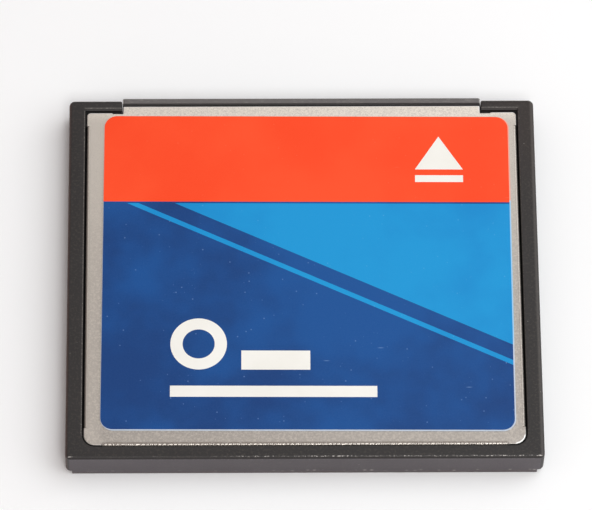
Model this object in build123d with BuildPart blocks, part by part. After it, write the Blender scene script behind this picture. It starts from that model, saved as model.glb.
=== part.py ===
from build123d import *
import os
from math import cos, radians, tan

# A memory card with 50 sockets along one edge, made as its separate pieces.
# X runs across the card, +Y points to the socket edge and +Z to the labelled side.
# The origin is the middle of the underside. All sizes are in millimetres.

# The outer form
card_width = 42.80
card_length = 36.40
card_thickness = 3.30
corner_radius = 0.50
upper_edge_radius = 0.27
lower_edge_radius = 0.12
# The frame's two front corners stand a little behind the socket face.
corner_setback = 0.19

# The guides that a slot holds the card by: a step along each lower edge and a groove in each
# side. The grooves differ in height, so that the card can't go in upside down.
step_inset = 0.57
step_height = 0.63
groove_length = 25.78
groove_depth = 0.76
groove_floor_height = 0.99
left_groove_top = 2.44
right_groove_top = 2.15
groove_end_radius = 0.40
groove_mouth_flare = 0.20
groove_mouth_length = 0.60

# The frame's walls, seen from above, and the slots that the covers' flanges drop into
rail_width = 1.48
back_bar_width = 1.20
front_land_width = 1.04
pocket_back_corner_radius = 1.15
flange_slot_width = 0.50
flange_slot_depth = 0.80
ledge_width = 0.52
post_width = 4.85
post_depth = 2.06
post_edge_radius = 0.15
land_bevel_width = 0.28
rail_bevel_width = 0.07

# The two pressed steel covers
cover_thickness = 0.20
cover_recess = 0.10
cover_side_gap = 0.18
cover_corner_side_gap = 0.15
cover_front_gap = 0.19
cover_back_gap = 0.08
cover_corner_back_gap = 0.16
cover_back_corner_radius = 1.00
cover_front_corner_radius = 0.35
cover_edge_bevel = 0.06
bend_radius = 0.24
flange_height = 0.90
side_flange_back_inset = 1.90
side_flange_front_inset = 1.62
back_flange_side_inset = 1.82
bend_relief = 0.04
tongue_gap = 0.10
tongue_front_gap = 0.27
tongue_notch_width = 0.96
tongue_notch_depth = 0.09

# The socket connector, which fills the mouth between the posts with as many sockets as fit
socket_pitch = 1.27
socket_end_margin = 1.20
socket_row_spacing = 1.27
socket_side = 0.60
socket_lead_in_depth = 0.14
socket_lead_in_angle = 42
socket_wall = 0.80
front_plate_thickness = 0.48
front_plate_recess = 0.05
front_plate_corner_radius = 0.25
housing_depth = 6.40
ear_depth = 3.40
cell_width = 0.85
cell_height = 0.90
housing_side_clearance = 0.05
housing_end_clearance = 0.05
housing_cover_clearance = 0.05
ear_side_clearance = 0.20
ear_height = 2.20

# The folded socket contacts
contact_side_clearance = 0.02
contact_metal = 0.12
contact_heel_length = 1.20
contact_tip_gap = 0.34
contact_tip_setback = 0.40
contact_hinge_length = 1.60
tail_width = 0.40
tail_length = 1.30

# The circuit board and the pads and pegs of the frame that hold it
board_thickness = 0.60
board_side_clearance = 0.25
board_back_clearance = 0.20
board_front_clearance = 0.20
board_corner_radius = 0.60
pad_reach = 0.90
pad_length = 2.40
pad_spacing = 9.50
pads_per_side = 3
peg_radius = 0.45
peg_height = 1.00
peg_clearance = 0.05

# What the board carries
memory_width = 12.00
memory_length = 18.00
memory_height = 0.90
memory_gap = 2.60
memory_corner_cut = 0.60
controller_side = 12.00
controller_height = 0.85
controller_corner_cut = 0.50
oscillator_width = 3.20
oscillator_length = 2.50
oscillator_height = 0.80
oscillator_corner_radius = 0.40
regulator_width = 2.90
regulator_length = 1.60
regulator_height = 0.90
regulator_leg_width = 0.40
regulator_leg_reach = 0.60
regulator_leg_metal = 0.15
regulator_leg_pitch = 0.95
tantalum_width = 3.20
tantalum_length = 1.60
tantalum_height = 0.90
ceramic_width = 0.80
ceramic_length = 1.60
ceramic_height = 0.70
ceramic_spacing = 2.20
ceramic_count = 8
resistor_width = 1.00
resistor_length = 0.50
resistor_height = 0.35
resistor_spacing = 1.60
resistor_count = 10
network_width = 3.20
network_length = 1.60
network_height = 0.50
network_spacing = 6.40
network_count = 5
component_gap = 1.30

# The insulating films glued inside the covers
film_thickness = 0.05
film_side_inset = 0.80
film_end_inset = 0.60

# The label, by the rims of bare cover that it leaves, is turned a little on the cover. Its
# print is laid out from its own edges.
label_left_rim = 1.51
label_right_rim = 0.74
label_back_rim = 1.40
label_front_rim = 0.46
label_thickness = 0.07
label_corner_radius = 1.20
label_turn = -0.30
ink_thickness = 0.02
wide_margin = 0.12
narrow_margin = 0.03
band_height = 8.86
band_line = 0.16
diagonal_angle = 25
diagonal_start = 6.50
stripe_distance = 1.40
stripe_width = 0.45
ring_radius = 2.55
ring_hole_radius = 1.45
ring_left = 6.20
ring_bottom = 5.90
bar_gap = 1.30
short_bar_length = 6.20
short_bar_height = 1.90
long_bar_length = 18.60
long_bar_height = 1.10
long_bar_bottom = 3.20
arrow_width = 4.40
arrow_height = 3.40
arrow_right = 4.20
arrow_bar_height = 0.70
arrow_bar_gap = 0.60

# Places worked out from the sizes above
half_width = card_width / 2
socket_face = card_length / 2
back_face = -card_length / 2
mid_height = card_thickness / 2
step_side = half_width - step_inset
frame_front = socket_face - corner_setback
frame_length = frame_front - back_face
frame_middle = (frame_front + back_face) / 2
pocket_side = half_width - rail_width
pocket_back = back_face + back_bar_width
pocket_front = frame_front - front_land_width
upper_ledge = card_thickness - cover_recess - cover_thickness
slot_side = pocket_side - flange_slot_width
slot_back = pocket_back + flange_slot_width
slot_floor = upper_ledge - flange_slot_depth
cavity_side = slot_side - ledge_width
cavity_back = slot_back + ledge_width
post_back = frame_front - post_depth
mouth_side = half_width - post_width
cover_top = card_thickness - cover_recess
cover_side = pocket_side - cover_side_gap
cover_corner_side = pocket_side - cover_corner_side_gap
cover_front = pocket_front - cover_front_gap
cover_back = pocket_back + cover_back_gap
cover_corner_back = pocket_back + cover_corner_back_gap
front_plate_width = 2 * (mouth_side - housing_side_clearance)
socket_count_per_row = 1 + int((front_plate_width - 2 * socket_end_margin) / socket_pitch)
plate_back = socket_face - front_plate_thickness
tongue_front = plate_back - tongue_front_gap
tongue_side = mouth_side - tongue_gap
flange_back = pocket_back + side_flange_back_inset
flange_front = pocket_front - side_flange_front_inset
back_flange_side = pocket_side - back_flange_side_inset
housing_back = socket_face - housing_depth
ear_front = post_back - housing_end_clearance
ear_side = cavity_side - ear_side_clearance
housing_top = upper_ledge - housing_cover_clearance
housing_height = 2 * (housing_top - mid_height)
cell_front = socket_face - socket_wall
board_top = mid_height + board_thickness / 2
board_bottom = mid_height - board_thickness / 2
board_side = cavity_side - board_side_clearance
board_back = cavity_back + board_back_clearance
board_front = housing_back - board_front_clearance
board_middle = (board_front + board_back) / 2


def area(left, right, low, high, mode=Mode.ADD):
    """A rectangle in the sketch at hand, given by its four edges."""
    with Locations(((left + right) / 2, (low + high) / 2)):
        Rectangle(right - left, high - low, mode=mode)


def save(piece, name):
    """Labels a finished piece and writes it."""
    piece.part.label = name
    export_step(piece.part, f"parts/{name}.step")


os.makedirs("parts", exist_ok=True)

# Frame: a moulded ring, open at the socket edge
with BuildPart() as frame:
    with BuildSketch():
        with Locations((0, frame_middle)):
            RectangleRounded(card_width, frame_length, corner_radius)
    extrude(amount=card_thickness)
    fillet(frame.faces().sort_by(Axis.Z)[-1].edges(), upper_edge_radius)

    # The steps along the lower side edges, then the rounding of the lower rim
    with BuildSketch():
        area(-half_width, half_width, back_face, frame_front)
        area(-step_side, step_side, back_face, frame_front, Mode.SUBTRACT)
    extrude(amount=step_height, mode=Mode.SUBTRACT)
    fillet(frame.faces().sort_by(Axis.Z)[0].edges().filter_by(GeomType.LINE), lower_edge_radius)

    # The space for the works, and the mouth between the two front posts
    with BuildSketch():
        area(-cavity_side, cavity_side, cavity_back, post_back)
        area(-mouth_side, mouth_side, cavity_back, socket_face)
    extrude(amount=card_thickness, mode=Mode.SUBTRACT)

    # The shallow pockets that the covers lie in, above and below
    for face_plane in (Plane.XY.offset(upper_ledge), Plane.XY):
        with BuildSketch(face_plane) as pocket:
            area(-pocket_side, pocket_side, pocket_back, pocket_front)
            fillet(pocket.vertices().group_by(Axis.Y)[0], pocket_back_corner_radius)
        extrude(amount=cover_thickness + cover_recess, mode=Mode.SUBTRACT)

    # The slots for the covers' flanges
    for slot_plane in (Plane.XY.offset(slot_floor), Plane.XY.offset(card_thickness - upper_ledge)):
        with BuildSketch(slot_plane):
            for inner, outer in ((slot_side, pocket_side), (-pocket_side, -slot_side)):
                area(inner, outer, flange_back - bend_relief, flange_front + bend_relief)
            area(-back_flange_side - bend_relief, back_flange_side + bend_relief, pocket_back, slot_back)
        extrude(amount=flange_slot_depth, mode=Mode.SUBTRACT)

    # The bevels that lead down from the front lands and the rails to the top cover
    with BuildSketch(Plane.YZ.offset(-pocket_side)):
        with BuildLine():
            Polyline(
                (pocket_front, cover_top),
                (pocket_front + land_bevel_width, card_thickness),
                (pocket_front, card_thickness),
                close=True,
            )
        make_face()
    extrude(amount=2 * pocket_side, mode=Mode.SUBTRACT)
    with BuildSketch(Plane.XZ.offset(-pocket_front)):
        with BuildLine():
            Polyline(
                (pocket_side, cover_top),
                (pocket_side + rail_bevel_width, card_thickness),
                (pocket_side, card_thickness),
                close=True,
            )
        make_face()
        mirror(about=Plane.YZ)
    extrude(amount=pocket_front - pocket_back - pocket_back_corner_radius, mode=Mode.SUBTRACT)

    # The guide grooves, with flared mouths
    for side, groove_top in ((-1, left_groove_top), (1, right_groove_top)):
        groove_bottom_x = half_width - groove_depth
        groove_height = groove_top - groove_floor_height
        with BuildSketch(Plane.XY.offset(groove_floor_height)) as groove:
            inner, outer = sorted((side * groove_bottom_x, side * (half_width + groove_depth)))
            area(inner, outer, socket_face - groove_length, socket_face)
            inner_corner = groove.vertices().group_by(Axis.Y)[0].sort_by(Axis.X)[0 if side > 0 else -1]
            fillet(inner_corner, groove_end_radius)
        extrude(amount=groove_height, mode=Mode.SUBTRACT)
        with BuildSketch(Plane.YZ.offset(side * groove_bottom_x)):
            with BuildLine():
                Polyline(
                    (frame_front - groove_mouth_length, groove_floor_height),
                    (frame_front, groove_floor_height - groove_mouth_flare),
                    (frame_front, groove_top + groove_mouth_flare),
                    (frame_front - groove_mouth_length, groove_top),
                    close=True,
                )
            make_face()
        extrude(amount=side * groove_depth, mode=Mode.SUBTRACT)

    # The posts' front edges beside the mouth are eased
    front_edges = frame.edges().filter_by(Axis.Z).group_by(Axis.Y)[-1]
    fillet(front_edges.sort_by_distance((0, frame_front, mid_height))[:2], post_edge_radius)

    # Pads under the board's edges, and a peg at each side that keeps it in place
    with BuildSketch(Plane.XY.offset(card_thickness - upper_ledge)):
        with Locations((0, board_middle)):
            with GridLocations(2 * cavity_side - pad_reach, pad_spacing, 2, pads_per_side):
                Rectangle(pad_reach, pad_length)
    extrude(amount=board_bottom - (card_thickness - upper_ledge))
    with BuildSketch(Plane.XY.offset(board_bottom)):
        with Locations((0, board_middle)):
            with GridLocations(2 * cavity_side, pad_spacing, 2, 1):
                Circle(peg_radius)
    extrude(amount=peg_height)
save(frame, "frame")

# Top cover: a flat panel with a tongue over the connector and three flanges bent down
with BuildPart() as top_cover:
    with BuildSketch(Plane.XY.offset(upper_ledge)) as blank:
        area(-cover_corner_side, cover_corner_side, cover_corner_back, cover_front)
        fillet(blank.vertices().group_by(Axis.Y)[0], cover_back_corner_radius)
        fillet(blank.vertices().group_by(Axis.Y)[-1], cover_front_corner_radius)
        area(-tongue_side, tongue_side, cover_front - tongue_notch_depth, tongue_front)
        for left, right in (
            (tongue_side, tongue_side + tongue_notch_width),
            (-tongue_side - tongue_notch_width, -tongue_side),
        ):
            area(left, right, cover_front - tongue_notch_depth, cover_front, Mode.SUBTRACT)
    extrude(amount=cover_thickness)
    # The blanking die leaves the sheet's outer edge eased.
    chamfer(top_cover.faces().sort_by(Axis.Z)[-1].edges(), cover_edge_bevel)
    with BuildSketch(Plane.XY.offset(upper_ledge)):
        bend_side = cover_side - bend_radius
        for inner, outer in ((bend_side, pocket_side), (-pocket_side, -bend_side)):
            area(inner, outer, flange_back - bend_relief, flange_front + bend_relief)
        back_side = back_flange_side + bend_relief
        area(-back_side, back_side, pocket_back, cover_back + bend_radius)
    extrude(amount=cover_thickness, mode=Mode.SUBTRACT)

    # The side flanges, each a bend and a short wall
    with BuildSketch(Plane.XZ.offset(-flange_front)):
        with BuildLine():
            bend = (cover_side - bend_radius, cover_top - bend_radius)
            outside = CenterArc(bend, bend_radius, 0, 90)
            inside = CenterArc(bend, bend_radius - cover_thickness, 0, 90)
            Line(outside @ 1, inside @ 1)
            Polyline(
                outside @ 0,
                (cover_side, cover_top - flange_height),
                (cover_side - cover_thickness, cover_top - flange_height),
                inside @ 0,
            )
        make_face()
        mirror(about=Plane.YZ)
    extrude(amount=flange_front - flange_back)

    # The back flange
    with BuildSketch(Plane.YZ.offset(-back_flange_side)):
        with BuildLine():
            bend = (cover_back + bend_radius, cover_top - bend_radius)
            outside = CenterArc(bend, bend_radius, 90, 90)
            inside = CenterArc(bend, bend_radius - cover_thickness, 90, 90)
            Line(outside @ 0, inside @ 0)
            Polyline(
                outside @ 1,
                (cover_back, cover_top - flange_height),
                (cover_back + cover_thickness, cover_top - flange_height),
                inside @ 1,
            )
        make_face()
    extrude(amount=2 * back_flange_side)
save(top_cover, "top_cover")

# Bottom cover: the same pressing, turned over
with BuildPart() as bottom_cover:
    mirror(top_cover.part, about=Plane.XY.offset(mid_height))
save(bottom_cover, "bottom_cover")

# Connector housing: a front plate, a body full of cells, and an ear behind each post
with BuildPart() as connector_housing:
    with BuildSketch(Plane.XY.offset(mid_height - housing_height / 2)):
        area(-front_plate_width / 2, front_plate_width / 2, housing_back, plate_back)
    extrude(amount=housing_height)
    with BuildSketch(Plane.XY.offset(mid_height - ear_height / 2)):
        area(-ear_side, ear_side, ear_front - ear_depth, ear_front)
    extrude(amount=ear_height)
    with BuildSketch(Plane.XZ.offset(-socket_face)):
        with Locations((0, mid_height)):
            RectangleRounded(
                front_plate_width,
                card_thickness - 2 * front_plate_recess,
                front_plate_corner_radius,
            )
    extrude(amount=front_plate_thickness)

    # Square sockets in the front wall, each with a sloping lead-in, and behind each of them a
    # cell that is open at the back for its contact
    mouth_width = socket_side + 2 * socket_lead_in_depth * tan(radians(socket_lead_in_angle))
    for start, width, height, depth, slope in (
        (socket_face, mouth_width, mouth_width, socket_lead_in_depth, socket_lead_in_angle),
        (socket_face, socket_side, socket_side, socket_wall, 0),
        (cell_front, cell_width, cell_height, cell_front - housing_back, 0),
    ):
        with BuildSketch(Plane.XZ.offset(-start)):
            with Locations((0, mid_height)):
                with GridLocations(socket_pitch, socket_row_spacing, socket_count_per_row, 2):
                    Rectangle(width, height)
        extrude(amount=depth, taper=slope, mode=Mode.SUBTRACT)
save(connector_housing, "connector_housing")

# Contacts: a folded channel whose two walls run forward as springs and grip the pin
contact_height = 2 * (mid_height + socket_row_spacing / 2 - board_top)
contact_wall = cell_width / 2 - contact_side_clearance
heel_front = housing_back + contact_heel_length
hinge = housing_back + contact_hinge_length
tip = cell_front - contact_tip_setback
with BuildSketch() as spring_pair:
    with BuildLine():
        Polyline(
            (contact_wall, housing_back),
            (contact_wall, hinge),
            (contact_tip_gap / 2 + contact_metal, tip),
            (contact_tip_gap / 2, tip),
            (contact_wall - contact_metal, hinge),
            (contact_wall - contact_metal, housing_back),
            close=True,
        )
    make_face()
    mirror(about=Plane.YZ)
with BuildPart() as upper_contacts:
    with BuildSketch(Plane.XY.offset(board_top)):
        with GridLocations(socket_pitch, 1, socket_count_per_row, 1):
            add(spring_pair.sketch)
    extrude(amount=contact_height)
    with BuildSketch(Plane.XY.offset(board_top)):
        with GridLocations(socket_pitch, 1, socket_count_per_row, 1):
            area(-contact_wall, contact_wall, housing_back, heel_front)
            area(-tail_width / 2, tail_width / 2, housing_back - tail_length, housing_back)
    extrude(amount=contact_metal)
save(upper_contacts, "upper_contacts")

with BuildPart() as lower_contacts:
    mirror(upper_contacts.part, about=Plane.XY.offset(mid_height))
save(lower_contacts, "lower_contacts")

# Circuit board, between the two rows of tails, with a notch for each peg
with BuildPart() as circuit_board:
    with BuildSketch(Plane.XY.offset(board_bottom)) as board_plan:
        area(-board_side, board_side, board_back, board_front)
        fillet(board_plan.vertices(), board_corner_radius)
        with Locations((0, board_middle)):
            with GridLocations(2 * cavity_side, pad_spacing, 2, 1):
                Circle(peg_radius + peg_clearance, mode=Mode.SUBTRACT)
    extrude(amount=board_thickness)
save(circuit_board, "circuit_board")

# The two memory packages on the upper face, each with its first-pin corner cut off
memory_x = (memory_gap + memory_width) / 2
memory_middle = board_back + component_gap + memory_length / 2
for name, x in (("left_memory_chip", -memory_x), ("right_memory_chip", memory_x)):
    with BuildPart() as memory_chip:
        with BuildSketch(Plane.XY.offset(board_top)) as memory_plan:
            with Locations((x, memory_middle)):
                Rectangle(memory_width, memory_length)
            first_pin = memory_plan.vertices().group_by(Axis.Y)[-1].sort_by(Axis.X)[0]
            chamfer(first_pin, memory_corner_cut)
        extrude(amount=memory_height)
    save(memory_chip, name)

# The controller on the lower face
with BuildPart() as controller_chip:
    with BuildSketch(Plane.XY.offset(board_bottom - controller_height)) as controller_plan:
        with Locations((0, board_middle)):
            Rectangle(controller_side, controller_side)
        first_pin = controller_plan.vertices().group_by(Axis.Y)[-1].sort_by(Axis.X)[0]
        chamfer(first_pin, controller_corner_cut)
    extrude(amount=controller_height)
save(controller_chip, "controller_chip")

# The oscillator, the regulator and the tantalum capacitor, beside the controller
with BuildPart() as oscillator:
    with BuildSketch(Plane.XY.offset(board_bottom - oscillator_height)):
        with Locations((controller_side / 2 + component_gap + oscillator_width / 2, board_middle)):
            RectangleRounded(oscillator_width, oscillator_length, oscillator_corner_radius)
    extrude(amount=oscillator_height)
save(oscillator, "oscillator")

regulator_x = -controller_side / 2 - component_gap - regulator_width / 2
with BuildPart() as voltage_regulator:
    with BuildSketch(Plane.XY.offset(board_bottom - regulator_height)):
        with Locations((regulator_x, board_middle)):
            Rectangle(regulator_width, regulator_length)
    extrude(amount=regulator_height)
    leg_row = regulator_length + regulator_leg_reach
    with BuildSketch(Plane.XY.offset(board_bottom - regulator_leg_metal)):
        with Locations((regulator_x, board_middle - leg_row / 2)):
            with GridLocations(regulator_leg_pitch, 1, 3, 1):
                Rectangle(regulator_leg_width, regulator_leg_reach)
        with Locations((regulator_x, board_middle + leg_row / 2)):
            with GridLocations(2 * regulator_leg_pitch, 1, 2, 1):
                Rectangle(regulator_leg_width, regulator_leg_reach)
    extrude(amount=regulator_leg_metal)
save(voltage_regulator, "voltage_regulator")

with BuildPart() as tantalum_capacitor:
    with BuildSketch(Plane.XY.offset(board_bottom - tantalum_height)):
        with Locations((regulator_x, board_middle + leg_row + tantalum_length)):
            Rectangle(tantalum_width, tantalum_length)
    extrude(amount=tantalum_height)
save(tantalum_capacitor, "tantalum_capacitor")

# Small parts in rows: ceramic capacitors between the memory packages, and resistors and
# networks on the lower face
with BuildPart() as ceramic_capacitors:
    with BuildSketch(Plane.XY.offset(board_top)):
        with Locations((0, memory_middle)):
            with GridLocations(1, ceramic_spacing, 1, ceramic_count):
                Rectangle(ceramic_width, ceramic_length)
    extrude(amount=ceramic_height)
save(ceramic_capacitors, "ceramic_capacitors")

with BuildPart() as resistors:
    with BuildSketch(Plane.XY.offset(board_bottom - resistor_height)):
        with Locations((0, board_middle - controller_side / 2 - component_gap)):
            with GridLocations(resistor_spacing, 1, resistor_count, 1):
                Rectangle(resistor_width, resistor_length)
    extrude(amount=resistor_height)
save(resistors, "resistors")

with BuildPart() as resistor_networks:
    with BuildSketch(Plane.XY.offset(board_bottom - network_height)):
        with Locations((0, board_middle + controller_side / 2 + component_gap + network_length / 2)):
            with GridLocations(network_spacing, 1, network_count, 1):
                Rectangle(network_width, network_length)
    extrude(amount=network_height)
save(resistor_networks, "resistor_networks")

# Insulating films on the inner faces of the covers
with BuildPart() as top_insulation_film:
    with BuildSketch(Plane.XY.offset(upper_ledge - film_thickness)):
        film_side = board_side - film_side_inset
        area(-film_side, film_side, board_back + film_end_inset, board_front - film_end_inset)
    extrude(amount=film_thickness)
save(top_insulation_film, "top_insulation_film")

with BuildPart() as bottom_insulation_film:
    mirror(top_insulation_film.part, about=Plane.XY.offset(mid_height))
save(bottom_insulation_film, "bottom_insulation_film")

# Label: a white film on the top cover
label_width = 2 * cover_side - label_left_rim - label_right_rim
label_height = cover_front - cover_back - label_back_rim - label_front_rim
label_x = (label_left_rim - label_right_rim) / 2
label_y = (cover_front - label_front_rim + cover_back + label_back_rim) / 2
label_face = Plane(Location((label_x, label_y, cover_top), (0, 0, label_turn)))
ink_face = label_face.offset(label_thickness)
with BuildPart() as label_film:
    with BuildSketch(label_face):
        RectangleRounded(label_width, label_height, label_corner_radius)
    extrude(amount=label_thickness)
save(label_film, "label_film")

# The print is a thin layer of ink. It leaves a narrow rim of white film, wider at the right
# and at the bottom, and its fields lie side by side.
ink_left = narrow_margin - label_width / 2
ink_right = label_width / 2 - wide_margin
ink_low = wide_margin - label_height / 2
ink_high = label_height / 2 - narrow_margin
band_low = label_height / 2 - band_height
line_low = band_low - band_line
diagonal_slope = tan(radians(diagonal_angle))


def diagonal_height(x, distance):
    """The height at x of the line that runs this far below the edge of the two blues."""
    past_start = x - ink_left - diagonal_start
    return line_low - diagonal_slope * past_start - distance / cos(radians(diagonal_angle))


def above_diagonal(distance, mode):
    """The area above such a line, wider than the ink."""
    Polygon(
        (ink_left, diagonal_height(ink_left, distance)),
        (ink_right, diagonal_height(ink_right, distance)),
        (ink_right, 2 * ink_high),
        (ink_left, 2 * ink_high),
        align=None,
        mode=mode,
    )


# The pale marks: a ring with a short bar and a long one, and an arrow to the socket edge
with BuildSketch() as marks:
    ring_x = ink_left + ring_left + ring_radius
    ring_y = ink_low + ring_bottom + ring_radius
    with Locations((ring_x, ring_y)):
        Circle(ring_radius)
        Circle(ring_hole_radius, mode=Mode.SUBTRACT)
    bar_left = ring_x + ring_radius + bar_gap
    bar_low = ring_y - ring_radius
    area(bar_left, bar_left + short_bar_length, bar_low, bar_low + short_bar_height)
    long_left = ring_x - ring_radius
    long_low = ink_low + long_bar_bottom
    area(long_left, long_left + long_bar_length, long_low, long_low + long_bar_height)
    arrow_x = ink_right - arrow_right - arrow_width / 2
    arrow_total = arrow_height + arrow_bar_gap + arrow_bar_height
    arrow_top = (ink_high + band_low + arrow_total) / 2
    with BuildLine():
        Polyline(
            (arrow_x, arrow_top),
            (arrow_x - arrow_width / 2, arrow_top - arrow_height),
            (arrow_x + arrow_width / 2, arrow_top - arrow_height),
            close=True,
        )
    make_face()
    arrow_bar_high = arrow_top - arrow_height - arrow_bar_gap
    area(
        arrow_x - arrow_width / 2,
        arrow_x + arrow_width / 2,
        arrow_bar_high - arrow_bar_height,
        arrow_bar_high,
    )

with BuildSketch() as ink:
    area(ink_left, ink_right, ink_low, ink_high)
    fillet(ink.vertices().group_by(Axis.Y)[-1], label_corner_radius - narrow_margin)
    fillet(ink.vertices().group_by(Axis.Y)[0], label_corner_radius - wide_margin)
    add(marks.sketch, mode=Mode.SUBTRACT)

# The light blue field fills the upper right, with one stripe beside it in the dark blue.
with BuildSketch() as light_area:
    above_diagonal(stripe_distance + stripe_width, Mode.ADD)
    above_diagonal(stripe_distance, Mode.SUBTRACT)
    above_diagonal(0, Mode.ADD)
    area(ink_left, ink_right, line_low, 2 * ink_high, Mode.SUBTRACT)

with BuildPart() as red_print:
    with BuildSketch(ink_face):
        add(ink.sketch)
        area(ink_left, ink_right, band_low, ink_high, Mode.INTERSECT)
    extrude(amount=ink_thickness)
save(red_print, "red_print")

with BuildPart() as light_blue_print:
    with BuildSketch(ink_face):
        add(ink.sketch)
        add(light_area.sketch, mode=Mode.INTERSECT)
    extrude(amount=ink_thickness)
save(light_blue_print, "light_blue_print")

with BuildPart() as dark_blue_print:
    with BuildSketch(ink_face):
        add(ink.sketch)
        area(ink_left, ink_right, ink_low, band_low, Mode.INTERSECT)
        add(light_area.sketch, mode=Mode.SUBTRACT)
    extrude(amount=ink_thickness)
save(dark_blue_print, "dark_blue_print")

with BuildPart() as pale_print:
    with BuildSketch(ink_face):
        add(marks.sketch)
    extrude(amount=ink_thickness)
save(pale_print, "pale_print")
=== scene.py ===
# %% [markdown]
# # A flash memory card with 50 sockets
# This lesson dresses a finished CAD model of a small memory card. The card is a black moulded
# frame with a thin steel cover above and below, a connector along one edge and a printed label.
# The CAD model holds every piece at its real size. Blender adds what the eye expects at close
# range: eased edges, the grain of each surface, the rough bends of the steel and soft light.
#
# A cell that starts like this one explains a step, and the cell after it carries the step out.

from math import cos, pi, radians, sin

import bmesh
import bpy
import numpy as np
from mathutils import Matrix, Vector


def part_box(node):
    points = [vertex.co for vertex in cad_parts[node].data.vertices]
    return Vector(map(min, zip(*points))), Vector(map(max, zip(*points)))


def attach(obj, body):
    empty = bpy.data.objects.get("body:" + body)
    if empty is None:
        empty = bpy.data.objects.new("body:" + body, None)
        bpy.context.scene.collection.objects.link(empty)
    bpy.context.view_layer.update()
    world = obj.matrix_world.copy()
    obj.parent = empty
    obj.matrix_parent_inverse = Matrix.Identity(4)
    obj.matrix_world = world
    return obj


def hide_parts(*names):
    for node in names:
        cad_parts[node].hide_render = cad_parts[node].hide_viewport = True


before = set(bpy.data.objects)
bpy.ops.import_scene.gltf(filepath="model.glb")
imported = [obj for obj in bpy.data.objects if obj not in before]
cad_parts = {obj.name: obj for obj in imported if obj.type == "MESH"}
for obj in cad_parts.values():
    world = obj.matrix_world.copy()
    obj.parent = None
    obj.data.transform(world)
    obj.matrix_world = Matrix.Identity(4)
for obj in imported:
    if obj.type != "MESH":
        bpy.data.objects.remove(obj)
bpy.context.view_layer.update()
MM = 0.001

print("pieces in the model:", len(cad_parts))

# %% [markdown]
# ## The camera
# The photograph was taken from far away with a long lens, so the card's sides stay almost
# parallel. The camera is set by where it aims, how far it stands off and three turns. The lens is
# worked out from its length in pixels, because that is what can be measured in a picture.

# %% Camera
IMAGE_WIDTH = 592
SENSOR_WIDTH = 36.0
LENS_IN_PIXELS = 5021.42
CAMERA_DISTANCE = 456.34 * MM
CAMERA_ELEVATION = radians(63.401)
CAMERA_YAW = radians(1.7416)
CAMERA_ROLL = radians(1.3972)
CAMERA_AIM = Vector((-0.642, 2.022, 3.30)) * MM


def aim_camera():
    """The line of sight points down by the elevation and is turned by the yaw about the upright
    axis. The roll then turns the picture about that line."""
    sight = Vector((sin(CAMERA_YAW) * cos(CAMERA_ELEVATION), cos(CAMERA_YAW) * cos(CAMERA_ELEVATION),
                    -sin(CAMERA_ELEVATION)))
    level = Vector((cos(CAMERA_YAW), -sin(CAMERA_YAW), 0))
    upright = level.cross(sight)
    right = cos(CAMERA_ROLL) * level + sin(CAMERA_ROLL) * upright
    up = cos(CAMERA_ROLL) * upright - sin(CAMERA_ROLL) * level
    camera = bpy.data.objects.new("camera", bpy.data.cameras.new("camera"))
    bpy.context.scene.collection.objects.link(camera)
    place = Matrix((right, up, -sight)).transposed().to_4x4()
    place.translation = CAMERA_AIM - sight * CAMERA_DISTANCE
    camera.matrix_world = place
    camera.data.sensor_width = SENSOR_WIDTH
    camera.data.lens = LENS_IN_PIXELS / IMAGE_WIDTH * SENSOR_WIDTH
    camera.data.clip_start = 0.1 * CAMERA_DISTANCE
    camera.data.clip_end = 10 * CAMERA_DISTANCE
    return camera


camera = aim_camera()
bpy.context.scene.camera = camera
bpy.context.scene.view_settings.view_transform = "Standard"
print("lens in mm:", round(camera.data.lens, 1), "at", [round(x / MM, 1) for x in camera.location])

# %% [markdown]
# ## Writing materials as sums
# A material is a small network of nodes. Wiring dozens of Math nodes by hand is hard to read, so
# a socket is wrapped in a class whose operators add the nodes: `1 - mask * 0.5` is then real
# Python that builds real nodes. Anything that isn't plain arithmetic goes through one method,
# `node`, which takes the node's type, its settings and what its sockets get.

# %% Sockets that take part in sums
class Value:
    """What one socket gives. Each operator adds one Math node to the same material."""

    def __init__(self, finish, socket):
        self.finish = finish
        self.socket = socket

    def math(self, operation, first, second=0.0):
        return self.finish.node("ShaderNodeMath", {"operation": operation}, {0: first, 1: second})

    def __add__(self, other):
        return self.math("ADD", self, other)

    def __sub__(self, other):
        return self.math("SUBTRACT", self, other)

    def __rsub__(self, other):
        return self.math("SUBTRACT", other, self)

    def __mul__(self, other):
        return self.math("MULTIPLY", self, other)

    def __abs__(self):
        return self.math("ABSOLUTE", self)

    __radd__ = __add__
    __rmul__ = __mul__


def paint(red, green, blue):
    """An sRGB colour of 0 to 255 as linear light. A share s of full light becomes s / 12.92 up to
    0.04045, and ((s + 0.055) / 1.055) to the power 2.4 above that."""
    share = np.array([red, green, blue]) / 255
    linear = np.where(share > 0.04045, ((share + 0.055) / 1.055) ** 2.4, share / 12.92)
    return (*linear.tolist(), 1.0)


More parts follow.
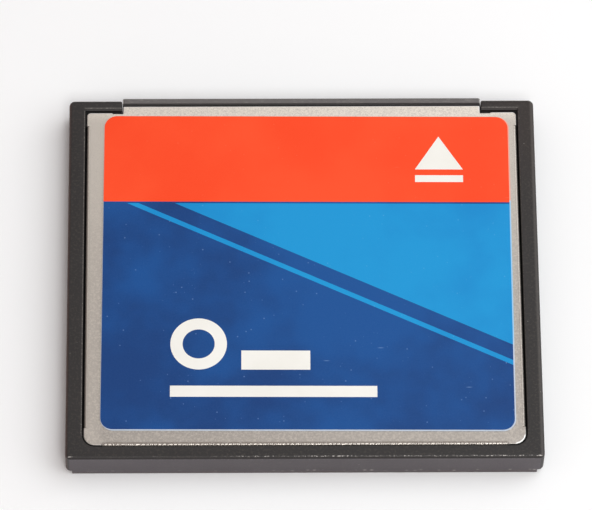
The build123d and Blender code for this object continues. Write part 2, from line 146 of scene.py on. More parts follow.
class Network:
    """A node tree with one method that adds any node, and another that feeds any socket."""

    def __init__(self, tree):
        self.tree = tree

    def node(self, kind, settings, inputs, output=0):
        """Adds a node: first its settings, then a value or a link for each socket."""
        made = self.tree.nodes.new(kind)
        for name, value in settings.items():
            setattr(made, name, value)
        for key, value in inputs.items():
            self.feed(made.inputs[key], value)
        return Value(self, made.outputs[output])

    def feed(self, socket, value):
        """Links a socket to a Value, or sets it to a plain number or colour."""
        if isinstance(value, Value):
            self.tree.links.new(value.socket, socket)
        else:
            socket.default_value = value

    def rise(self, value, low, high):
        """0 at low and 1 at high, with soft ends. High may be the smaller number."""
        settings = {"interpolation_type": "SMOOTHSTEP"}
        return self.node("ShaderNodeMapRange", settings, {"Value": value, "From Min": low, "From Max": high})

    def mix(self, factor, first, second):
        """A colour between two colours: the first where the factor is 0, the second where it is 1."""
        settings = {"data_type": "RGBA"}
        return self.node("ShaderNodeMix", settings, {0: factor, 6: first, 7: second}, 2)


class Finish(Network):
    """One material. It starts as a plain Principled BSDF, and its patterns are added in mm."""

    def __init__(self, name):
        self.material = bpy.data.materials.new(name)
        self.material.use_nodes = True
        super().__init__(self.material.node_tree)
        self.shader = self.tree.nodes["Principled BSDF"]
        self.where = self.node("ShaderNodeTexCoord", {}, {}, "Object")

    def set(self, **inputs):
        """Feeds the shader's own sockets, whose names are written with _ for a space."""
        for name, value in inputs.items():
            self.feed(self.shader.inputs[name.replace("_", " ")], value)

    def place(self):
        """The distance in mm along X, Y and Z from the middle of the card's underside."""
        axes = self.tree.nodes.new("ShaderNodeSeparateXYZ")
        self.tree.links.new(self.where.socket, axes.inputs[0])
        return [Value(self, axis) * (1 / MM) for axis in axes.outputs]

    def moved(self, stretch, shift, turn=0.0):
        """The coordinates stretched, turned and shifted, so that two patterns don't lie in step."""
        inputs = {"Vector": self.where, "Location": shift, "Rotation": (0, 0, turn), "Scale": stretch}
        return self.node("ShaderNodeMapping", {}, inputs)

    def noise(self, size, detail=2.0, stretch=(1, 1, 1), shift=(0, 0, 0)):
        """Soft random values of 0 to 1 around one half, whose patches are about size mm wide."""
        where = self.moved(stretch, shift)
        inputs = {"Vector": where, "Scale": 1 / (size * MM), "Detail": detail}
        return self.node("ShaderNodeTexNoise", {}, inputs)

    def specks(self, spacing, radius, stretch=(1, 1, 1), shift=(0, 0, 0), turn=0.0):
        """Dots, one in each cell of a random net: 1 in a dot's middle and 0 past its radius. The
        distance is in cells, so a radius of 0.1 is a tenth of the spacing. A stretch under 1 along
        one axis draws the dots out into short lines along it."""
        where = self.moved(stretch, shift, turn)
        distance = self.node("ShaderNodeTexVoronoi", {}, {"Vector": where, "Scale": 1 / (spacing * MM)})
        return self.rise(distance, radius, 0.0)

    def near(self, distance, width):
        """1 where a distance is nothing and 0 past the width, on both sides."""
        return self.rise(abs(distance), width, 0.0)

    def bump(self, height, distance):
        """A normal that makes the height show as relief, distance mm from 0 to 1."""
        inputs = {"Height": height, "Distance": distance * MM, "Strength": 1.0}
        return self.node("ShaderNodeBump", {}, inputs)


# %% [markdown]
# ## The frame's plastic
# The frame is glass-filled nylon, moulded against a spark-eroded steel wall. That leaves a fine,
# even grain and a soft sheen. Its upper edges carry painted highlights: thin light lines along
# the cover, on the two front lands, down the outer right side and along the top of the trailing
# face. The top of the trailing edge is nicked pale, and the frame is browner low down and on the
# left. Each is a mask: the distance from a line on the frame, times a noise that breaks it up.
# Painted shade darkens the pocket and the rounding above the trailing face, and the trailing face
# itself is painted lighter.

# %% Frame plastic
frame_low, frame_high = (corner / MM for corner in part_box("frame"))
RAIL_WIDTH = 1.48
LAND_WIDTH = 1.04
LAND_BEVEL = 0.28
UPPER_ROUNDING = 0.27
BACK_BAR_WIDTH = 1.20
frame_middle = frame_high.z / 2
pocket_side = frame_high.x - RAIL_WIDTH
pocket_front = frame_high.y - LAND_WIDTH
pocket_back = frame_low.y + BACK_BAR_WIDTH


def frame_plastic():
    finish = Finish("frame_plastic")
    x, y, z = finish.place()
    across = abs(x)
    patches = finish.noise(2.4, 3.0)
    grain = finish.noise(0.11, 3.0)
    nicks = finish.rise(finish.noise(0.09, 3.0, stretch=(0.6, 1, 1)), 0.50, 0.64)
    colour = finish.mix(patches, paint(32, 30, 30), paint(42, 39, 39))
    colour = finish.mix(grain * 0.5, colour, paint(56, 52, 50))
    mottle = finish.noise(0.22, 3.0, shift=(0.2, 0.1, 0))
    colour = finish.mix(finish.rise(mottle, 0.48, 0.68) * 0.38, colour, paint(74, 68, 62))
    warm = finish.rise(x, 14.0, 21.0) * finish.rise(y, 2.0, 17.0)
    colour = finish.mix(warm * 0.25, colour, paint(62, 47, 40))

    # The trailing face is painted lighter, as light falls on it, the rounding above it carries painted shade
    # and the left side is browner
    back_face = finish.rise(y, frame_low.y + 0.06, frame_low.y + 0.01)
    middle = finish.rise(across, 19.0, 6.0)
    colour = finish.mix(back_face * (0.47 - middle * 0.06), colour, paint(100, 93, 100))
    # Painted shade on the rounding above the trailing face
    rounding = finish.near(z - (frame_high.z - 0.16), 0.10)
    rounding = rounding * finish.rise(y, frame_low.y + 0.20, frame_low.y + 0.10)
    colour = finish.mix(rounding * 0.8, colour, paint(24, 22, 21))
    foot = finish.rise(z, 0.66, 0.36) * finish.rise(y, frame_low.y + 0.30, frame_low.y + 0.12)
    flank = finish.rise(x, frame_low.x + 0.28, frame_low.x + 0.04)
    colour = finish.mix(foot * patches * 0.45, colour, paint(90, 72, 66))
    colour = finish.mix(flank * (0.25 + patches * 0.6), colour, paint(80, 53, 45))

    # Thin light lines along the upper edges: painted highlights, broken up by nicks, and a lighter band down
    # the outer right side
    top = finish.rise(z, frame_high.z - 0.12, frame_high.z - 0.04)
    alongside = finish.rise(y, pocket_back + 0.8, pocket_back + 1.4)
    alongside = alongside * finish.rise(y, pocket_front, pocket_front - 0.1)
    painted_rail_highlight = finish.near(across - (pocket_side + 0.06), 0.07) * alongside * (nicks * 0.6 + 0.12)
    left_side = finish.rise(x, 1.0, -1.0)
    painted_land_highlight = finish.near(y - (pocket_front + LAND_BEVEL - 0.03), 0.06) * (nicks * 0.75 + 0.30)
    painted_land_highlight = painted_land_highlight * finish.rise(across, pocket_side + 0.2, pocket_side - 0.1)
    painted_outer_highlight = finish.near(x - (frame_high.x - 0.24), 0.20) * 0.14
    lines = (painted_rail_highlight * (left_side * 0.6 + 0.4) + painted_land_highlight + painted_outer_highlight) * top
    colour = finish.mix(lines * 0.78, colour, paint(164, 158, 151))
    # A painted highlight where the trailing face meets its rounding, broken up by nicks
    painted_face_highlight = finish.near(z - (frame_high.z - UPPER_ROUNDING - 0.04), 0.05) * back_face
    colour = finish.mix(painted_face_highlight * nicks * 0.5, colour, paint(150, 142, 142))

    # Scuffs along the trailing edge, and dust all over
    edge = finish.near(y - (frame_low.y + 0.19), 0.07) * top
    reach = finish.rise(finish.noise(4.0, 2.0, shift=(0.3, 0, 0)) + x * 0.012, 0.40, 0.64)
    corner = finish.rise(across, frame_high.x - 0.75, frame_high.x - 0.45)
    corner_spot = finish.near(across - (frame_high.x - 0.42), 0.22) * edge
    low_edge = finish.near(z - 0.60, 0.24) * finish.rise(y, frame_low.y + 0.30, frame_low.y + 0.20)
    low_edge = low_edge * finish.specks(0.60, 0.42, shift=(0.2, 0, 0.1)) * (reach * 0.7 + 0.3)
    scuffs = edge * nicks * (reach * 0.9 + corner + 0.03) + corner_spot * 0.7 + low_edge * 0.6
    colour = finish.mix(scuffs, colour, paint(214, 208, 202))
    dust = finish.specks(1.3, 0.05) + finish.specks(0.45, 0.09, shift=(0.1, 0.3, 0)) * 0.35
    colour = finish.mix(dust * 0.6, colour, paint(190, 186, 180))

    # Painted shade down in the pocket, beside the covers, where little light gets in
    depth = frame_middle - abs(z - frame_middle)
    inside = finish.rise(across, pocket_side + 0.03, pocket_side + 0.01)
    inside = inside * finish.rise(y, pocket_back - 0.03, pocket_back - 0.01)
    inside = inside * finish.rise(y, pocket_front + 0.03, pocket_front + 0.01)
    painted_pocket_shade = finish.rise(depth, 0.05, 0.14) * inside
    colour = finish.mix(painted_pocket_shade * 0.85, colour, paint(7, 6, 6))
    roughness = 0.38 + patches * 0.16 + scuffs * 0.2 + painted_pocket_shade * 0.3
    finish.set(Base_Color=colour, Roughness=roughness, Specular_IOR_Level=0.35)
    finish.set(Normal=finish.bump(grain, 0.008))
    return finish.material


# %% [markdown]
# ## The steel covers
# The covers are thin stainless steel with a matt, slightly warm finish that looks sandy up close.
# Three sizes of noise give it: broad clouds, a mottle a sixth of a millimetre wide and a fine
# grain. The same mottle drives colour, gloss and relief, so that they belong together. Towards the
# end that slides into a socket the steel is painted paler, a painted sheen with real rubbing on
# the tongue. Beside the long bend it is darker, the left bend carries painted shade, the edges
# carry painted highlights and the steel down in the gap is painted nearly black as shade.

# %% Cover steel
cover_low, cover_high = (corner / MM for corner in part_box("top_cover"))
TONGUE_REACH = 0.67
TONGUE_SIDE = 16.45
BEND_RADIUS = 0.24
COVER_CORNER_RADIUS = 1.00
COVER_CORNER_SETBACK = 0.08
BACK_FLANGE_INSET = 1.67
shoulder_edge = cover_high.y - TONGUE_REACH
cover_height = cover_high.z - frame_middle
back_half = cover_high.x - BACK_FLANGE_INSET


def painted_edge_highlights(finish, x, y, z):
    """Painted highlights on the covers' outer edges: their eased rims, the front and sides of the
    tongue, the shoulders beside it, and the arc round the back corner at the right. The arc
    is found by its distance from the middle of the corner's circle."""
    across = abs(x)
    rim = finish.rise(abs(z - frame_middle), cover_height - 0.004, cover_height - 0.015)
    beside_tongue = finish.rise(across, TONGUE_SIDE + 0.8, TONGUE_SIDE + 1.0)
    front = finish.near(y - (cover_high.y - 0.05), 0.12)
    front = front + finish.near(y - (shoulder_edge - 0.05), 0.12) * beside_tongue
    tongue_sides = finish.near(across - (TONGUE_SIDE - 0.04), 0.11)
    front = front + tongue_sides * finish.rise(y, shoulder_edge, shoulder_edge + 0.1)
    to_side = across - (cover_high.x - COVER_CORNER_RADIUS)
    to_back = (cover_low.y + COVER_CORNER_SETBACK + COVER_CORNER_RADIUS) - y
    root = {"operation": "SQRT"}
    distance = finish.node("ShaderNodeMath", root, {0: to_side * to_side + to_back * to_back})
    arc = finish.near(distance - (COVER_CORNER_RADIUS - 0.07), 0.13) * finish.rise(to_side, 0.0, 0.2)
    arc = arc * finish.rise(to_back, 0.0, 0.2) * finish.rise(x, -1.0, 1.0)
    return rim * 0.4 + front * 0.9 + arc


def cover_steel(name="cover_steel", relief=0.008, gloss=0.0, painted_light=1.0):
    finish = Finish(name)
    x, y, z = finish.place()
    across = abs(x)
    clouds = finish.noise(6.0, 2.0)
    mottle = finish.noise(0.17, 3.0, shift=(0.1, 0.2, 0.3))
    grain = finish.noise(0.08, 2.0)
    # Painted sheen: paler towards the socket end, most of all on the tongue, which is also rubbed
    rub_and_painted_sheen = finish.rise(y, -6.0, shoulder_edge) + finish.rise(y, shoulder_edge - 1.2, shoulder_edge + 0.1)
    rub_and_painted_sheen = rub_and_painted_sheen * (finish.rise(across, 19.5, 14.0) * 0.3 + 0.7)
    colour = finish.mix(clouds, paint(172, 164, 156), paint(181, 173, 166))
    colour = finish.mix(rub_and_painted_sheen * 0.64, colour, paint(242, 234, 222))
    colour = finish.mix(finish.rise(mottle, 0.40, 0.68) * 0.54, colour, paint(214, 206, 196))
    colour = finish.mix(finish.rise(grain, 0.50, 0.70) * 0.36, colour, paint(138, 130, 121))
    rough_spots = finish.rise(mottle, 0.30, 0.52)
    # Darker just inside the back bend, and painted shade at the start of the left bend, both mottled
    back_bend_darkening = finish.near(y - (cover_low.y + BEND_RADIUS + 0.06), 0.12)
    back_bend_darkening = back_bend_darkening * finish.rise(across, back_half + 0.05, back_half - 0.1)
    left_bend = BEND_RADIUS - cover_high.x
    painted_left_bend_shade = finish.rise(x, left_bend + 0.22, left_bend + 0.02)
    painted_left_bend_shade = painted_left_bend_shade * finish.rise(y, cover_low.y + 1.7, cover_low.y + 1.9)
    painted_left_bend_shade = painted_left_bend_shade * finish.rise(y, shoulder_edge - 1.4, shoulder_edge - 1.6) * 0.35
    colour = finish.mix((back_bend_darkening + painted_left_bend_shade) * rough_spots * 0.65, colour, paint(104, 92, 80))
    left_rim = finish.rise(x, 1.9 - cover_high.x, 1.1 - cover_high.x)
    colour = finish.mix(left_rim * 0.22, colour, paint(228, 219, 207))
    # Painted highlights along the eased edges, the tongue and the right back corner
    painted_highlight = painted_edge_highlights(finish, x, y, z) * painted_light
    colour = finish.mix(painted_highlight, colour, paint(255, 253, 250))
    # Painted shade: the steel more than 0.08 mm below its top, down in the gap beside the frame, is painted
    # nearly black
    painted_gap_shade = finish.rise(abs(z - frame_middle), cover_height - 0.05, cover_height - 0.08) * painted_light
    colour = finish.mix(painted_gap_shade * 0.9, colour, paint(24, 21, 19))
    roughness = 0.40 - gloss + mottle * 0.16 - painted_highlight * 0.12
    finish.set(Base_Color=colour, Metallic=0.85, Roughness=roughness)
    finish.set(Normal=finish.bump(mottle * 0.6 + grain * 0.4, relief))
    return finish.material


# %% [markdown]
# ## The connector's plastic
# The housing is a greyer and stiffer plastic than the frame, with glass fibre near its surface.
# Short pale fibres show as streaks, so one noise is stretched along the card's width. Its upper
# edge carries painted highlights at both ends, and the seam beside the cover is painted shade.

# %% Connector plastic
FRONT_PLATE_HALF = 16.50


def housing_plastic():
    finish = Finish("housing_plastic")
    grain = finish.noise(0.12, 3.0)
    fibres = finish.rise(finish.noise(0.10, 2.0, stretch=(0.25, 1, 1)), 0.55, 0.72)
    x, y, z = finish.place()
    # Painted highlights on the upper edge at both ends of the front plate
    painted_end_highlights = finish.rise(abs(x), FRONT_PLATE_HALF - 0.12, FRONT_PLATE_HALF - 0.03)
    painted_end_highlights = painted_end_highlights * finish.rise(z, frame_high.z - 0.35, frame_high.z - 0.15)
    painted_end_highlights = painted_end_highlights * finish.rise(y, frame_high.y + 0.14, frame_high.y + 0.08)
    colour = finish.mix(grain, paint(87, 84, 83), paint(107, 103, 101))
    colour = finish.mix(fibres * 0.45, colour, paint(134, 130, 126))
    # Painted shade in the seam in front of the cover's edge
    painted_seam_shade = finish.rise(y, cover_high.y + 0.30, cover_high.y + 0.20)
    colour = finish.mix(painted_seam_shade * 0.95, colour, paint(8, 7, 7))
    colour = finish.mix(painted_end_highlights * 0.85, colour, paint(216, 212, 206))
    finish.set(Base_Color=colour, Roughness=0.42 + grain * 0.15, Normal=finish.bump(grain, 0.008))
    return finish.material


# %% [markdown]
# ## The label's film and inks
# The label is a white plastic film. Its inks are flat colours under a satin layer. What keeps
# them from looking like flat paint is small: a faint cloud in each colour, tiny pale specks where
# the ink missed the film, and a surface that isn't quite level. One function makes each ink.

# %% Label finishes
INK_GLOSS = 0.18
_, label_high = (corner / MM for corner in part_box("label_film"))
BAND_HEIGHT = 8.86
LIGHT_BLUE_LENGTH = 23.0
band_edge = label_high.y - BAND_HEIGHT
light_blue_end = label_high.y - LIGHT_BLUE_LENGTH


def label_white():
    """White film whose cut edge is tinted by the red and light blue inks that run up to it."""
    finish = Finish("label_white")
    x, y, z = finish.place()
    grain = finish.noise(0.2, 2.0)
    beside_red = finish.rise(y, band_edge - 0.1, band_edge + 0.1)
    colour = finish.mix(grain, paint(182, 196, 214), paint(208, 218, 230))
    colour = finish.mix(beside_red, colour, paint(238, 172, 152))
    beside_blue = finish.rise(x, 15.0, 17.0) * finish.rise(y, light_blue_end - 0.5, light_blue_end + 0.5)
    colour = finish.mix(beside_blue * (1 - beside_red) * 0.8, colour, paint(150, 206, 238))
    finish.set(Base_Color=colour, Roughness=0.4, Specular_IOR_Level=INK_GLOSS)
    finish.set(Normal=finish.bump(grain, 0.003))
    return finish.material


def ink(name, dull, bright, speck, speck_share):
    """An ink that drifts between two colours and is brightest near the middle of the label, with
    specks and fine scratches of a third colour."""
    finish = Finish(name)
    x, y, z = finish.place()
    middle = finish.rise(abs(x - 3.0), 13.0, 2.0) * finish.rise(abs(y - 1.0), 13.0, 3.0)
    clouds = finish.noise(5.5, 3.0) + middle * 0.30
    fine = finish.noise(0.15, 2.0)
    colour = finish.mix(finish.rise(clouds, 0.3, 0.8), dull, bright)
    colour = finish.mix(fine * 0.06, colour, speck)
    size = finish.noise(2.1, 1.0, shift=(0.02, 0.01, 0))
    small_dots = finish.specks(0.47, 0.10, shift=(0.3, 0.1, 0)) * finish.rise(size, 0.5, 0.65)
    dots = finish.specks(0.95, 0.10) + small_dots
    scratches = finish.specks(1.9, 0.035, stretch=(0.16, 1, 1), turn=0.6)
    colour = finish.mix((dots + scratches) * speck_share, colour, speck)
    ripple = finish.noise(1.6, 2.0)
    finish.set(Base_Color=colour, Roughness=0.34 + fine * 0.1, Specular_IOR_Level=INK_GLOSS)
    finish.set(Normal=finish.bump(ripple, 0.004))
    return finish.material


# %% [markdown]
# ## The finishes inside
# The works are closed in by the covers, yet each still gets its own finish, so that the card can
# be opened up and shown. Gold contacts are a metal with fine drawing lines. The circuit board is
# green lacquer over faint copper tracks. Chips are black resin with a sparkle of filler.

# %% Inner finishes
TRACK_SCALE = 260.0
TRACK_DISTORTION = 3.0


def contact_gold():
    finish = Finish("contact_gold")
    lines = finish.noise(0.08, 2.0, stretch=(1, 0.1, 1))
    colour = finish.mix(lines, paint(196, 152, 72), paint(236, 200, 118))
    finish.set(Base_Color=colour, Metallic=1.0, Roughness=0.22 + lines * 0.12)
    finish.set(Normal=finish.bump(lines, 0.002))
    return finish.material


def board_green():
    finish = Finish("board_green")
    settings = {"wave_type": "BANDS", "bands_direction": "DIAGONAL"}
    inputs = {"Vector": finish.where, "Scale": TRACK_SCALE, "Distortion": TRACK_DISTORTION}
    tracks = finish.node("ShaderNodeTexWave", settings, inputs, 1)
    copper = finish.rise(tracks, 0.55, 0.65)
    holes = finish.specks(1.7, 0.10)
    colour = finish.mix(copper, paint(16, 74, 40), paint(30, 104, 58))
    colour = finish.mix(holes, colour, paint(176, 150, 92))
    finish.set(Base_Color=colour, Roughness=0.3 + holes * 0.2, Normal=finish.bump(copper - holes, 0.015))
    return finish.material


def chip_black():
    finish = Finish("chip_black")
    grain = finish.noise(0.07, 3.0)
    filler = finish.specks(0.35, 0.12)
    colour = finish.mix(grain, paint(28, 28, 30), paint(44, 44, 46))
    colour = finish.mix(filler * 0.4, colour, paint(96, 96, 98))
    finish.set(Base_Color=colour, Roughness=0.5 + grain * 0.2, Normal=finish.bump(grain, 0.006))
    return finish.material


def can_metal():
    finish = Finish("can_metal")
    brushed = finish.noise(0.05, 2.0, stretch=(0.05, 1, 1))
    colour = finish.mix(brushed, paint(176, 176, 178), paint(220, 220, 222))
    finish.set(Base_Color=colour, Metallic=1.0, Roughness=0.25 + brushed * 0.15)
    finish.set(Normal=finish.bump(brushed, 0.002))
    return finish.material


def two_ended(name, body, body_light, half_length, end_length, centre, pitch, axis):
    """A small part whose two ends are tinned. The distance from the middle of the nearest one is
    found by folding the place at each pitch, and the ends are where it is near the half length."""
    finish = Finish(name)
    along = finish.place()[axis]
    folded = finish.node("ShaderNodeMath", {"operation": "PINGPONG"}, {0: along - centre, 1: pitch / 2})
    tinned = finish.rise(folded, half_length - end_length, half_length - 0.8 * end_length)
    grain = finish.noise(0.06, 2.0)
    colour = finish.mix(tinned, finish.mix(grain, body, body_light), paint(206, 206, 204))
    finish.set(Base_Color=colour, Metallic=tinned * 0.9, Roughness=0.34 + grain * 0.2)
    finish.set(Normal=finish.bump(grain, 0.004))
    return finish.material


def film_amber():
    finish = Finish("film_amber")
    clouds = finish.noise(1.5, 2.0)
    colour = finish.mix(clouds, paint(176, 112, 30), paint(206, 142, 48))
    finish.set(Base_Color=colour, Roughness=0.25 + clouds * 0.1, Normal=finish.bump(clouds, 0.004))
    return finish.material


# %% [markdown]
# ## Dressing the model's own pieces
# A piece whose shape is right keeps its mesh and gets a finish. This table pairs each name with
# one, and a loop hands them out.

# %% Hand out the finishes
def middle_and_size(node, axis):
    """The middle and the length of a piece along one axis, in mm."""
    low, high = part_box(node)
    return (low[axis] + high[axis]) / 2 / MM, (high[axis] - low[axis]) / MM


def row_finish(node, name, body, body_light, axis, pitch, half_length, end_length, count):
    """The finish of a row of parts with tinned ends. The fold in `two_ended` starts from the
    middle of one part. An even row has none in its own middle, so half a pitch is added."""
    middle, _ = middle_and_size(node, axis)
    centre = middle + (pitch / 2 if count % 2 == 0 else 0)
    return two_ended(name, body, body_light, half_length, end_length, centre, pitch, axis)


steel = cover_steel()
plastic = frame_plastic()
connector = housing_plastic()
gold = contact_gold()
board = board_green()
chip = chip_black()
amber = film_amber()
_, tantalum_size = middle_and_size("tantalum_capacitor", 0)

finishes = {
    "label_film": label_white(),
    "red_print": ink("red_ink", paint(252, 72, 30), paint(255, 80, 38), paint(255, 128, 100), 0.3),
    "light_blue_print": ink("light_blue_ink", paint(6, 136, 203), paint(15, 149, 212),
                            paint(120, 186, 226), 0.45),
    "dark_blue_print": ink("dark_blue_ink", paint(6, 56, 117), paint(11, 77, 146), paint(130, 166, 214), 0.6),
    "pale_print": ink("pale_ink", paint(240, 238, 230), paint(248, 246, 240), paint(226, 222, 212), 0.2),
    "upper_contacts": gold,
    "lower_contacts": gold,
    "circuit_board": board,
    "left_memory_chip": chip,
    "right_memory_chip": chip,
    "controller_chip": chip,
    "voltage_regulator": chip,
    "oscillator": can_metal(),
    "tantalum_capacitor": row_finish(
        "tantalum_capacitor", "tantalum_case", paint(196, 150, 40), paint(214, 170, 60), axis=0,
        pitch=4 * tantalum_size, half_length=tantalum_size / 2, end_length=0.5, count=1),
    "ceramic_capacitors": row_finish(
        "ceramic_capacitors", "capacitor_ceramic", paint(150, 118, 84), paint(170, 138, 102), axis=1,
        pitch=2.20, half_length=0.80, end_length=0.35, count=8),
    "resistors": row_finish(
        "resistors", "resistor_black", paint(22, 22, 24), paint(36, 36, 38), axis=0,
        pitch=1.60, half_length=0.50, end_length=0.22, count=10),
    "resistor_networks": row_finish(
        "resistor_networks", "network_black", paint(22, 22, 24), paint(36, 36, 38), axis=0,
        pitch=6.40, half_length=1.60, end_length=0.30, count=5),
    "top_insulation_film": amber,
    "bottom_insulation_film": amber,
}
for name, material in finishes.items():
    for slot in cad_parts[name].material_slots:
        slot.material = material
print("finishes given to the model's own pieces:", len(finishes))

# %% [markdown]
# ## Eased copies of the moulded and pressed pieces
# No real edge is perfectly sharp, and it is the thin bright line along an edge that makes a small
# thing look real. A Bevel modifier gives it, but the model's meshes are loose triangles, which it
# can't follow. So each such piece is copied, its doubled points are merged, flat triangles are
# dissolved into whole faces, and the copy stands in for the original with a narrow bevel on it.

# %% Eased copies
MERGE_DISTANCE = 0.0005 * MM
FLAT_ANGLE = radians(0.5)
SHARP_ANGLE = radians(28)
EASED_WIDTH = 0.03
FINE_EASED_WIDTH = 0.02


def clean_mesh(node, name):
    """The node's mesh with doubled points merged and flat neighbours joined into one face."""
    work = bmesh.new()
    work.from_mesh(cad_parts[node].data)
    bmesh.ops.remove_doubles(work, verts=work.verts, dist=MERGE_DISTANCE)
    bmesh.ops.dissolve_limit(work, angle_limit=FLAT_ANGLE, verts=work.verts, edges=work.edges)
    points = [vertex.co[:] for vertex in work.verts]
    faces = [[vertex.index for vertex in face.verts] for face in work.faces]
    work.free()
    mesh = bpy.data.meshes.new(name)
    mesh.from_pydata(points, [], faces)
    return mesh


def show(mesh, material, slot, *replaced):
    """Links a mesh as a piece of the card, which stands in for the nodes that are named."""
    mesh.materials.append(material)
    piece = bpy.data.objects.new(mesh.name, mesh)
    bpy.context.scene.collection.objects.link(piece)
    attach(piece, "root")
    if replaced:
        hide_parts(*replaced)
    return piece


def eased_copy(node, name, material, slot, width):
    mesh = clean_mesh(node, name)
    mesh.shade_smooth()
    mesh.set_sharp_from_angle(angle=SHARP_ANGLE)
    piece = show(mesh, material, slot, node)
    bevel = piece.modifiers.new("eased edges", "BEVEL")
    bevel.width = width * MM
    bevel.segments = 2
    bevel.limit_method = "ANGLE"
    bevel.angle_limit = SHARP_ANGLE
    bevel.use_clamp_overlap = False
    bevel.harden_normals = True
    print(name, "faces before the bevel:", len(mesh.polygons))


eased_copy("frame", "frame_moulding", plastic, "frame_plastic", EASED_WIDTH)
eased_copy("top_cover", "top_cover_pressing", steel, "cover_steel", EASED_WIDTH)
eased_copy("bottom_cover", "bottom_cover_pressing", steel, "cover_steel", EASED_WIDTH)
eased_copy("connector_housing", "connector_moulding", connector, "housing_plastic", FINE_EASED_WIDTH)

# %% [markdown]
# ## The rough bends of the covers
# Where the steel is folded down into the frame, its outer skin stretches and turns rough, like
# the peel of an orange. Under a lamp the fold shows as a string of bright beads. Relief in a
# material would be flat at the silhouette, so each fold gets a thin skin of real geometry: a
# quarter circle carried along the fold, whose radius swells and shrinks with a sum of waves.

# %% Skins for the bends
SKIN_LIFT = 0.004
SKIN_DEPTH = 0.025
BACK_BEAD_HEIGHT = 0.030
SIDE_BEAD_HEIGHT = 0.014
STEPS_PER_MM = 30
ARC_STEPS = 9
WAVES = 7
WAVE_LENGTHS = (0.14, 0.62)
STEEPEST_SLANT = 2.0
BEAD_CONTRAST = 1.6
FADE_LENGTH = 0.3


def beads(along, angle, seed):
    """Heights of 0 to 1: the mean of waves with random lengths, slants and starts, raised at
    their tops. Along is in mm and the angle is in radians."""
    chance = np.random.default_rng(seed)
    total = np.zeros_like(along)
    for _ in range(WAVES):
        length = chance.uniform(*WAVE_LENGTHS)
        slant = chance.uniform(-STEEPEST_SLANT, STEEPEST_SLANT)
        start = chance.uniform(0, 2 * pi)
        total += np.sin(2 * pi * along / length + slant * angle + start)
    return 0.5 + 0.5 * np.tanh(BEAD_CONTRAST * total / WAVES ** 0.5)


def bend_skin(name, low, high, corner, across, up, bead_height, seed):
    """A closed strip over one fold. A point on it lies at
    corner + along * direction + radius * (cos(angle) * across + sin(angle) * up),
    with the angle from 0 to a quarter turn on the outside and back again on the inside, where the
    radius is a little smaller. The swelling fades out at both ends of the arc and of the strip."""
    steps = int((high - low) * STEPS_PER_MM)
    along = np.linspace(low, high, steps + 1)[:, None]
    turn = np.linspace(0, pi / 2, ARC_STEPS + 1)[None, :]
    from_low = np.clip((along - low) / FADE_LENGTH, 0, 1)
    from_high = np.clip((high - along) / FADE_LENGTH, 0, 1)
    fade = np.sin(2 * turn) ** 0.5 * from_low * from_high
    swell = bead_height * fade * beads(along + 0 * turn, turn + 0 * along, seed)
    outer = BEND_RADIUS + SKIN_LIFT + swell
    inner = BEND_RADIUS - SKIN_DEPTH + 0 * outer
    radius = np.concatenate([outer, inner[:, ::-1]], axis=1)
    angle = np.concatenate([turn, turn[:, ::-1]], axis=1)
    across, up = np.array(across, float), np.array(up, float)
    direction = np.abs(np.cross(across, up))
    points = (np.array(corner, float) + along[..., None] * direction
              + (radius * np.cos(angle))[..., None] * across + (radius * np.sin(angle))[..., None] * up)
    mesh = tube_mesh(name, points * MM)
    mesh.shade_smooth()
    return mesh


def tube_mesh(name, points):
    """A closed mesh from rings of points: squares between neighbouring rings and a cap on each
    end. The normals are worked out afterwards, so that the order of the rings doesn't matter."""
    rings, around, _ = points.shape
    index = np.arange(rings * around).reshape(rings, around)
    ahead = np.roll(index, -1, axis=1)
    squares = np.stack([index[:-1], ahead[:-1], ahead[1:], index[1:]], axis=-1).reshape(-1, 4)
    caps = [index[0, ::-1].tolist(), index[-1].tolist()]
    mesh = bpy.data.meshes.new(name)
    mesh.from_pydata(points.reshape(-1, 3).tolist(), [], squares.tolist() + caps)
    work = bmesh.new()
    work.from_mesh(mesh)
    bmesh.ops.recalc_face_normals(work, faces=work.faces)
    work.to_mesh(mesh)
    work.free()
    return mesh


back_bend_steel = cover_steel("back_bend_steel", relief=0.012, gloss=0.20, painted_light=0.0)
side_bend_steel = cover_steel("side_bend_steel", relief=0.012, gloss=0.04, painted_light=0.0)
under_low, _ = (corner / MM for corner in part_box("bottom_cover"))
SIDE_FLANGE_SETBACK = 0.03
SIDE_FLANGE_BACK = 1.82
SIDE_FLANGE_FRONT = 1.43

flange_side = cover_high.x - SIDE_FLANGE_SETBACK - BEND_RADIUS
flange_low = cover_low.y + SIDE_FLANGE_BACK
flange_high = shoulder_edge - SIDE_FLANGE_FRONT
panels = (("top", cover_high.z - BEND_RADIUS, 1), ("bottom", under_low.z + BEND_RADIUS, -1))
for label, height, rise in panels:
    back_corner = (0, cover_low.y + BEND_RADIUS, height)
    folds = (
        ("back", -back_half, back_half, back_corner, (0, -1, 0), BACK_BEAD_HEIGHT, 3),
        ("left", flange_low, flange_high, (-flange_side, 0, height), (-1, 0, 0), SIDE_BEAD_HEIGHT, 5),
        ("right", flange_low, flange_high, (flange_side, 0, height), (1, 0, 0), SIDE_BEAD_HEIGHT, 7),
    )
    for side, low, high, corner, across, bead_height, seed in folds:
        name = f"{label}_{side}_bend"
        mesh = bend_skin(name, low, high, corner, across, (0, 0, rise), bead_height, seed)
        show(mesh, back_bend_steel if side == "back" else side_bend_steel, "cover_steel")
        print(mesh.name, "faces:", len(mesh.polygons))

# %% [markdown]
# ## The floor and the light
# The card lies on a white table under one wide, soft lamp that leans to its right, which is why
# its shadow shows on its left. A smaller lamp in front catches the rough bends of the steel. The
# sky gives the rest, and is a little warm, so that the shadows are. Lamps are weak here, because
# the scene is small: together they give less than two watts, about half a metre away.

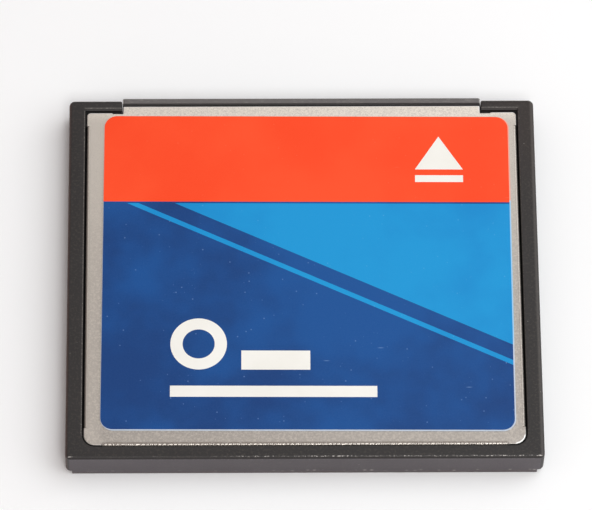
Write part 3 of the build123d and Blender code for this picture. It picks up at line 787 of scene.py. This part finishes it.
# %% Floor, lamps and sky
FLOOR_SIZE = 4.0
KEY_SIZE = 0.50
KEY_POWER = 1.22
KEY_PLACE = Vector((0.22, 0.01, 0.31))
KEY_COLOUR = (0.955, 1.015, 1.035)
FRONT_SIZE = 0.14
FRONT_POWER = 0.55
FRONT_PLACE = Vector((0.05, -0.28, 0.42))
SKY_COLOUR = (1.035, 0.938, 0.918, 1)
SKY_OVERHEAD = 0.365
SKY_AT_HORIZON = 1.05
HORIZON_LOW = 0.10
HORIZON_TOP = 0.45


def floor_material():
    finish = Finish("floor")
    grain = finish.noise(30.0, 2.0)
    colour = finish.mix(grain, (0.96, 0.96, 0.96, 1), (0.98, 0.98, 0.98, 1))
    finish.set(Base_Color=colour, Roughness=0.7)
    return finish.material


def make_floor():
    half = FLOOR_SIZE / 2
    mesh = bpy.data.meshes.new("floor")
    corners = [(-half, -half, 0), (half, -half, 0), (half, half, 0), (-half, half, 0)]
    mesh.from_pydata(corners, [], [(0, 1, 2, 3)])
    mesh.materials.append(floor_material())
    floor = bpy.data.objects.new("floor", mesh)
    bpy.context.scene.collection.objects.link(floor)


def soft_lamp(name, place, size, power, colour=(1, 1, 1)):
    """A square lamp that faces the card."""
    data = bpy.data.lights.new(name, "AREA")
    data.color = colour
    data.shape = "SQUARE"
    data.size = size
    data.energy = power
    lamp = bpy.data.objects.new(name, data)
    bpy.context.scene.collection.objects.link(lamp)
    lamp.location = place
    lamp.rotation_euler = (-place).to_track_quat("-Z", "Y").to_euler()


def make_sky():
    """A sky that is white at the horizon, as a studio's backdrop is, and greyer overhead. The
    height of a direction is the sine of its elevation."""
    world = bpy.data.worlds.new("sky")
    bpy.context.scene.world = world
    world.use_nodes = True
    sky = Network(world.node_tree)
    direction = sky.node("ShaderNodeTexCoord", {}, {}, "Generated")
    height = sky.node("ShaderNodeSeparateXYZ", {}, {0: direction}, "Z")
    share = sky.rise(height, HORIZON_TOP, HORIZON_LOW)
    sky.feed(sky.tree.nodes["Background"].inputs["Color"], SKY_COLOUR)
    sky.feed(sky.tree.nodes["Background"].inputs["Strength"],
             share * (SKY_AT_HORIZON - SKY_OVERHEAD) + SKY_OVERHEAD)


make_floor()
soft_lamp("key_lamp", KEY_PLACE, KEY_SIZE, KEY_POWER, KEY_COLOUR)
soft_lamp("front_lamp", FRONT_PLACE, FRONT_SIZE, FRONT_POWER)
make_sky()
